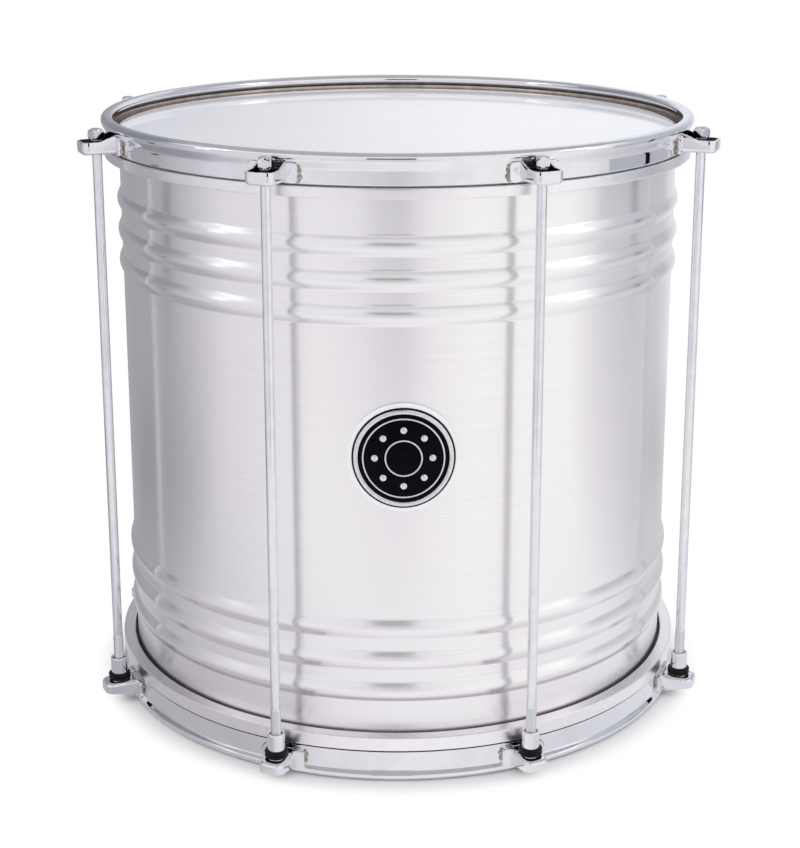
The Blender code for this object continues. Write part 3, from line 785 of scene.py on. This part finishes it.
def make_tension_gear():
    """Claws, rods, washers, nuts and bushings at the eight lugs."""
    top_claw = claw_mesh("pressed_top_claw", TOP_CLAW_WIDTH, TOP_CLAW_SETBACK,
                         hole=2.95, tip=6.5, middle=6.7, drop=TOP_FLARE)
    bottom_claw = claw_mesh("pressed_bottom_claw", BOTTOM_CLAW_WIDTH, BOTTOM_CLAW_SETBACK,
                            hole=4.8, tip=5.4, middle=6.9, drop=BOTTOM_FLARE)
    rod, washer, nut, bushing = rod_mesh(), washer_mesh(), nut_mesh(), bushing_mesh()
    for i in LUGS:
        n = i + 1
        upright = Matrix.Translation(lug_place(i).to_translation())
        add_piece(f"pressed_top_claw_{n}", top_claw, CHROME, "top_hoop", [f"top_claw_{n}"],
                  lug_place(i, LIP + TOP_CLAW_SETBACK))
        add_piece(f"pressed_bottom_claw_{n}", bottom_claw, CHROME, "drum", [f"bottom_claw_{n}"],
                  lug_place(i, HOOP_HEIGHT - BOTTOM_CLAW_SETBACK, flipped=True))
        add_piece(f"key_rod_{n}", rod, ROD_STEEL, f"rod_{n}", [f"tension_rod_{n}"],
                  upright @ key_turn(i))
        add_piece(f"stamped_washer_{n}", washer, ROD_STEEL, "top_hoop", [f"rod_washer_{n}"],
                  upright)
        add_piece(f"receiver_nut_barrel_{n}", nut, CHROME, "drum", [f"receiver_nut_{n}"],
                  lug_place(i))
        add_piece(f"moulded_bushing_{n}", bushing, NYLON, "drum", [f"bushing_{n}"],
                  upright)


def curved_ring(radius, lift, centre, count):
    """A circle drawn on the shell's front, bent to its curve, at a lift off the shell."""
    around = SHELL_RADIUS + lift
    turns = full_turn(count) if radius else [0.0]
    ring = []
    for t in turns:
        turn = (centre[0] + radius * math.cos(t)) / around
        level = BADGE_LEVEL + (centre[1] + radius * math.sin(t))
        ring.append((around * math.sin(turn), -around * math.cos(turn), level))
    return ring


def add_badge_piece(name, profile, closed, finish, node="badge_plate", centre=(0.0, 0.0), count=96):
    """Skin circles of (radius, lift) on the curved front, as a piece of the badge."""
    rings = [curved_ring(r, lift, centre, count) for r, lift in profile]
    add_piece(name, mesh_of_rings(name, rings, closed), finish, "drum", [node])


def disc_profile(inner_radii, edge, top, low):
    """A disc's section from its centre's top over its edge to its centre's underside."""
    over = [(r, top) for r in inner_radii]
    under = [(r, low) for r in reversed(inner_radii)]
    return over + edge + under


def make_badge():
    """White backing, stamped plate edge, enamel field and a plain pattern of dots and rings."""
    back_edge = [(BACK_RADIUS - 0.5, BACK_TOP), (BACK_RADIUS - 0.15, 1.1), (BACK_RADIUS, 0.85),
                 (BACK_RADIUS, SLIP)]
    backing = disc_profile((0.0, 8, 16, 24), back_edge, BACK_TOP, SLIP)
    add_badge_piece("badge_backing", backing, False, WHITE_ACRYLIC, "badge_back")
    edge = [(FIELD_RADIUS, 2.0), (23.0, 2.15), (24.4, 2.15), (24.8, 1.95), (PLATE_RADIUS, PLATE_LOW),
            (FIELD_RADIUS, PLATE_LOW)]
    add_badge_piece("badge_plate_edge", edge, True, PLATE_METAL)
    # A thin black ring round the plate's edge, in the field's finish, where a dark line runs between plate
    # and backing
    rim_bore = PLATE_RADIUS + 0.02
    rim = [(rim_bore, 1.55), (25.0, 1.62), (25.5, 1.62), (BLACK_RIM_RADIUS, 1.5), (BLACK_RIM_RADIUS, 1.24),
           (rim_bore, 1.24)]
    add_badge_piece("badge_black_rim", rim, True, ENAMEL)
    field_edge = [(FIELD_RADIUS - 0.02, FIELD_TOP), (FIELD_RADIUS - 0.02, PLATE_LOW)]
    field = disc_profile((0.0, 6, 12, 18), field_edge, FIELD_TOP, PLATE_LOW)
    add_badge_piece("badge_enamel_field", field, False, ENAMEL)
    for name, radius in (("badge_outer_line", OUTER_LINE_RADIUS), ("badge_inner_line", INNER_LINE_RADIUS)):
        inner, outer = radius - LINE_HALF, radius + LINE_HALF
        line = [(inner, 2.0), (radius, 2.08), (outer, 2.0), (outer, DOT_LOW), (inner, DOT_LOW)]
        add_badge_piece(name, line, True, PLATE_METAL)
    dot = [(0.0, 2.25), (0.9, 2.2), (1.5, 2.05), (DOT_RADIUS, DOT_LOW), (0.0, DOT_LOW)]
    for i in LUGS:
        turn = math.radians(LUG_STEP_DEG * i)
        centre = (DOT_CIRCLE * math.cos(turn), DOT_CIRCLE * math.sin(turn))
        add_badge_piece(f"badge_dot_{i + 1}", dot, False, PLATE_METAL,
                        centre=centre, count=24)


# Studio measures, in metres
FLOOR_HALF = 12.0
FLOOR_SINK = 0.0002
SHADOW_NEAR, SHADOW_FAR = 0.160, 0.178
MIRRORED_NEAR, MIRRORED_FAR = 0.163, 0.180
RING_EDGES = (0.1622, 0.245, 0.41, 0.66)
RING_LIFT = 0.0008
WALL_DISTANCE = RING_EDGES[-1]
FLAG_DISTANCE = 0.645
SOFTBOX_DISTANCE = 0.64
STAND_DISTANCE = 0.62
BACK_WALL_DISTANCE = 1.0
WALL_SPLIT = 0.30
CEILING_RADIUS, CEILING_LEVEL = 1.05, 1.12

# Tones of the studio as the metal mirrors it, by degrees round the drum from its front.
# Grey at the left, white in front and to the right, a soft grey strip towards the camera
WALL_TONES = (
    (-180, "#e4e4ea"), (-170, "#c0c1c8"), (-160, "#b0b1b8"), (-150, "#a8a8ae"), (-132, "#a6a5aa"),
    (-112, "#aeadb2"), (-95, "#b4b3b8"), (-84, "#c8c7cc"), (-66, "#e6e5ea"), (-28, "#f4f3f7"),
    (-12, "#e9e8ed"), (0, "#dbdadf"), (12, "#f4f3f7"), (24, "#ffffff"), (64, "#ffffff"),
    (74, "#ebeaee"), (84, "#e2e1e5"), (92, "#dad9dd"), (112, "#d9d8dc"), (122, "#d4d3d7"),
    (138, "#e2e1e6"), (155, "#f4f4f8"), (170, "#f6f6fa"), (180, "#e4e4ea"),
)
HIGH_WALL_TONES = (
    (-180, "#e0e2e8"), (-165, "#b4b6bd"), (-150, "#999ba3"), (-112, "#8e9097"), (-95, "#999ba2"),
    (-84, "#c1c3ca"), (-66, "#e1e3e9"), (-28, "#f2f4f8"), (24, "#fbfcff"), (72, "#f6f9fd"),
    (84, "#dfe3e9"), (92, "#ccd1d8"), (122, "#c3c8cf"), (138, "#d6dae0"), (158, "#f2f4f8"),
    (172, "#eef0f5"), (180, "#e0e2e8"),
)
FAR_FLOOR_TONES = (
    (-180, "#e2e2e6"), (-150, "#adacb2"), (-129, "#a2a1a7"), (-118, "#97969c"), (-104, "#9d9ca2"),
    (-90, "#a7a6ac"), (-80, "#b7b6bc"), (-68, "#dddce2"), (-28, "#ffffff"), (0, "#fbfafe"),
    (24, "#ffffff"), (65, "#ffffff"), (76, "#efeef2"), (91, "#dfdee2"), (120, "#c2c1c5"),
    (138, "#d0cfd3"), (160, "#e4e4e8"), (180, "#e2e2e6"),
)
NEAR_FLOOR_TONES = (
    (-180, "#dfdfe3"), (-150, "#b2b2b7"), (-118, "#a5a5aa"), (-100, "#a8a8ad"), (-84, "#b9b9be"),
    (-66, "#d4d4d9"), (-28, "#f4f4f8"), (24, "#fefeff"), (69, "#f8f8fb"), (84, "#e6e6ea"),
    (100, "#d4d4d9"), (130, "#d2d2d7"), (160, "#dfdfe3"), (180, "#dfdfe3"),
)
# The floor ring at the drum's foot carries a painted shadow: the drum's contact shadow as the metal mirrors
# it, grey round the sides and back, greyest to the left, white in front
FOOT_FLOOR_TONES = (
    (-180, "#dcdce1"), (-120, "#cdcdd2"), (-96, "#c8c8cd"), (-80, "#c1c0c5"), (-60, "#bebcc1"),
    (-28, "#c8c6cb"), (-18, "#eeedf1"), (0, "#fbfbff"), (20, "#f6f6fa"), (30, "#e8e7ec"),
    (50, "#ebebf0"), (70, "#f0f0f5"), (110, "#e6e6eb"), (180, "#dcdce1"),
)


def ray_kinds(tree):
    """Outputs that are 1 for camera rays, and for rays that a surface mirrors or lets through."""
    seen = add_node(tree, "ShaderNodeLightPath")
    mirrored = add_node(tree, "ShaderNodeMath", {"operation": "MAXIMUM"},
                        {0: seen.outputs["Is Glossy Ray"], 1: seen.outputs["Is Transmission Ray"]})
    return seen.outputs["Is Camera Ray"], mirrored.outputs[0]


def studio_floor():
    """A white floor that keeps only the drum's soft contact shadow."""
    material, tree, output = new_finish("white_paper_floor")
    place = add_node(tree, "ShaderNodeTexCoord")
    flat = add_node(tree, "ShaderNodeVectorMath", {"operation": "LENGTH"}, {0: place.outputs["Object"]})
    camera_rays, mirrored_rays = ray_kinds(tree)
    fades = ((camera_rays, SHADOW_NEAR, SHADOW_FAR), (mirrored_rays, MIRRORED_NEAR, MIRRORED_FAR))
    shares = []
    for rays, near, far in fades:
        away = add_node(tree, "ShaderNodeMapRange",
                        {"interpolation_type": "SMOOTHSTEP", "From Min": near, "From Max": far},
                        {"Value": flat.outputs["Value"]})
        shares.append(add_node(tree, "ShaderNodeMath", {"operation": "MULTIPLY"},
                               {0: rays, 1: away.outputs[0]}))
    share = add_node(tree, "ShaderNodeMath", {"operation": "MAXIMUM"},
                     {0: shares[0].outputs[0], 1: shares[1].outputs[0]})
    paper = add_node(tree, "ShaderNodeBsdfPrincipled",
                     {"Base Color": paint("#fafafa"), "Roughness": 0.8, "Specular IOR Level": 0.1})
    white = add_node(tree, "ShaderNodeEmission", {"Color": paint("#ffffff"), "Strength": 1.0})
    mix = add_node(tree, "ShaderNodeMixShader",
                   links={0: share.outputs[0], 1: paper.outputs[0], 2: white.outputs[0]})
    tree.links.new(mix.outputs[0], output.inputs[0])
    corners = [(x * FLOOR_HALF, y * FLOOR_HALF, 0) for x, y in ((-1, -1), (1, -1), (1, 1), (-1, 1))]
    mesh = bpy.data.meshes.new("floor")
    mesh.from_pydata(corners, [], [(0, 1, 2, 3)])
    mesh.materials.append(material)
    floor = bpy.data.objects.new("floor", mesh)
    floor.location.z = -FLOOR_SINK
    bpy.context.scene.collection.objects.link(floor)


def reflected_only(name, mesh, material):
    """Stage piece that only the metal's reflections see."""
    mesh.materials.append(material)
    card = bpy.data.objects.new(name, mesh)
    card.visible_camera = False
    card.visible_diffuse = False
    card.visible_shadow = False
    bpy.context.scene.collection.objects.link(card)


def standing_card(name, material, distance, start_deg, end_deg, low, high, steps=24):
    """A card curved round the drum, from one height to another."""
    points = []
    for i in range(steps + 1):
        turn = math.radians(start_deg + (end_deg - start_deg) * i / steps)
        spot = (distance * math.sin(turn), -distance * math.cos(turn))
        points += [(*spot, low), (*spot, high)]
    mesh = bpy.data.meshes.new(name)
    mesh.from_pydata(points, [], [(2 * i, 2 * i + 2, 2 * i + 3, 2 * i + 1) for i in range(steps)])
    reflected_only(name, mesh, material)


def floor_ring(name, near, far, tones, steps=96):
    """A ring of tinted floor round the drum, seen by reflections alone."""
    points = []
    for i in range(steps + 1):
        turn = 2 * math.pi * i / steps
        points += [(r * math.cos(turn), r * math.sin(turn), RING_LIFT) for r in (near, far)]
    mesh = bpy.data.meshes.new(name)
    mesh.from_pydata(points, [], [(2 * i, 2 * i + 1, 2 * i + 3, 2 * i + 2) for i in range(steps)])
    reflected_only(name, mesh, tones_round_the_drum(f"{name}_paint", tones))


def card_paint(name, colour, strength=1.0):
    """A flat tone that keeps its brightness in a reflection."""
    material, tree, output = new_finish(name)
    tone = add_node(tree, "ShaderNodeEmission", {"Color": paint(colour), "Strength": strength})
    tree.links.new(tone.outputs[0], output.inputs[0])
    return material


def tones_round_the_drum(name, tones):
    """Card paint whose tone follows the angle round the drum, from (degrees, colour) pairs."""
    material, tree, output = new_finish(name)
    place = add_node(tree, "ShaderNodeTexCoord")
    split = add_node(tree, "ShaderNodeSeparateXYZ", links={0: place.outputs["Object"]})
    front = add_node(tree, "ShaderNodeMath", {"operation": "MULTIPLY", 1: -1.0}, {0: split.outputs["Y"]})
    angle = add_node(tree, "ShaderNodeMath", {"operation": "ARCTAN2"},
                     {0: split.outputs["X"], 1: front.outputs[0]})
    share = add_node(tree, "ShaderNodeMapRange", {"From Min": -math.pi, "From Max": math.pi},
                     {"Value": angle.outputs[0]})
    tone = add_node(tree, "ShaderNodeValToRGB", links={"Fac": share.outputs[0]})
    colour_stops(tone, [((turn + 180) / 360, colour) for turn, colour in tones])
    glow = add_node(tree, "ShaderNodeEmission", {"Strength": 1.0}, {"Color": tone.outputs["Color"]})
    tree.links.new(glow.outputs[0], output.inputs[0])
    return material


def studio_cards():
    """What the metal mirrors: tinted floor and walls, a grey ceiling, and the gap round the camera.

    A card in front of another has the smaller distance.
    """
    high = tones_round_the_drum("studio_high_wall_tones", HIGH_WALL_TONES)
    glow = card_paint("softbox_face_white", "#ffffff", 2.4)
    stand = card_paint("lamp_stand_black", "#0c0c0e")
    # Each card's paint, distance, first and last angle in degrees, lower and upper level, and steps
    cards = (
        ("low_wall", tones_round_the_drum("studio_wall_tones", WALL_TONES),
         WALL_DISTANCE, -180, 180, 0.0, WALL_SPLIT, 96),
        ("high_wall", high, WALL_DISTANCE, -180, 180, WALL_SPLIT, 0.55, 96),
        ("high_wall_behind", high, BACK_WALL_DISTANCE, 95, 265, 0.5, 1.14, 48),
        ("gap_round_camera", card_paint("gap_round_camera", "#151416"),
         SOFTBOX_DISTANCE, -10.8, 4.8, 0.315, 0.455, 24),
        ("left_softbox_face", glow, SOFTBOX_DISTANCE, -72.0, -65.5, 0.39, 0.45, 6),
        ("right_softbox_face", glow, SOFTBOX_DISTANCE, 64.0, 74.0, 0.40, 0.45, 6),
        ("left_lamp_stand", stand, STAND_DISTANCE, -98.0, -93.5, 0.150, 0.208, 4),
        ("right_lamp_stand", stand, STAND_DISTANCE, 95.8, 98.8, 0.165, 0.30, 4),
        ("right_grey_flag", card_paint("flag_grey", "#c0c3ca"),
         FLAG_DISTANCE, 76.0, 128.0, 0.168, 0.34, 12),
    )
    for card in cards:
        standing_card(*card)
    rings = (("floor_foot", FOOT_FLOOR_TONES), ("floor_near", NEAR_FLOOR_TONES),
             ("floor_far", FAR_FLOOR_TONES))
    for (name, tones), near, far in zip(rings, RING_EDGES, RING_EDGES[1:]):
        floor_ring(name, near, far, tones)
    rim = circle(CEILING_RADIUS, CEILING_LEVEL, 48)
    mesh = bpy.data.meshes.new("grey_ceiling")
    mesh.from_pydata(rim, [], [tuple(range(len(rim)))])
    reflected_only("grey_ceiling", mesh, card_paint("grey_ceiling", "#bdbcc1"))


def studio_light():
    """White surroundings at a plain level, and soft lamps to the left, right and above."""
    world = bpy.data.worlds.new("studio")
    bpy.context.scene.world = world
    world.use_nodes = True
    tree = world.node_tree
    tree.nodes.clear()
    room = add_node(tree, "ShaderNodeBackground", {"Color": paint("#f8f8fa"), "Strength": 0.92})
    white = add_node(tree, "ShaderNodeBackground", {"Color": paint("#ffffff"), "Strength": 1.0})
    camera_rays, mirrored_rays = ray_kinds(tree)
    direct = add_node(tree, "ShaderNodeMath", {"operation": "MAXIMUM"}, {0: camera_rays, 1: mirrored_rays})
    mix = add_node(tree, "ShaderNodeMixShader",
                   links={0: direct.outputs[0], 1: room.outputs[0], 2: white.outputs[0]})
    output = add_node(tree, "ShaderNodeOutputWorld")
    tree.links.new(mix.outputs[0], output.inputs[0])
    # Each lamp's place and side in metres, and its power in watts
    lamps = (
        ("left_softbox", (-1.50, -0.50, 1.05), 0.30, 0.36),
        ("right_softbox", (1.47, -0.53, 1.05), 0.38, 0.80),
        ("top_softbox", (0.1, 0.5, 2.2), 1.5, 9.0),
    )
    middle = Vector((0, 0, 0.16))
    for name, spot, size, power in lamps:
        lamp = bpy.data.lights.new(name, "AREA")
        lamp.shape = "SQUARE"
        lamp.size = size
        lamp.energy = power
        holder = bpy.data.objects.new(name, lamp)
        holder.location = spot
        holder.rotation_euler = (middle - Vector(spot)).to_track_quat("-Z", "Y").to_euler()
        bpy.context.scene.collection.objects.link(holder)


def photograph_camera():
    """The photograph's camera, from the fit to its ellipses and rods."""
    turned_by = math.radians(1.1)
    away, above = 0.97353, 0.45141
    tilt, sideways = math.radians(90 - 14.742), math.radians(0.08)
    camera = bpy.data.cameras.new("camera")
    camera.sensor_width = 36.0
    camera.lens = 75.09
    camera.shift_y = -0.1108
    camera.clip_start = 0.01
    holder = bpy.data.objects.new("camera", camera)
    holder.location = (-away * math.sin(turned_by), -away * math.cos(turned_by), above)
    holder.rotation_euler = (tilt, 0.0, -turned_by - sideways)
    bpy.context.scene.collection.objects.link(holder)
    bpy.context.scene.camera = holder


make_shell()
make_heads_and_hoops()
make_tension_gear()
make_badge()
studio_floor()
studio_cards()
studio_light()
photograph_camera()
bpy.context.scene.view_settings.view_transform = "Standard"
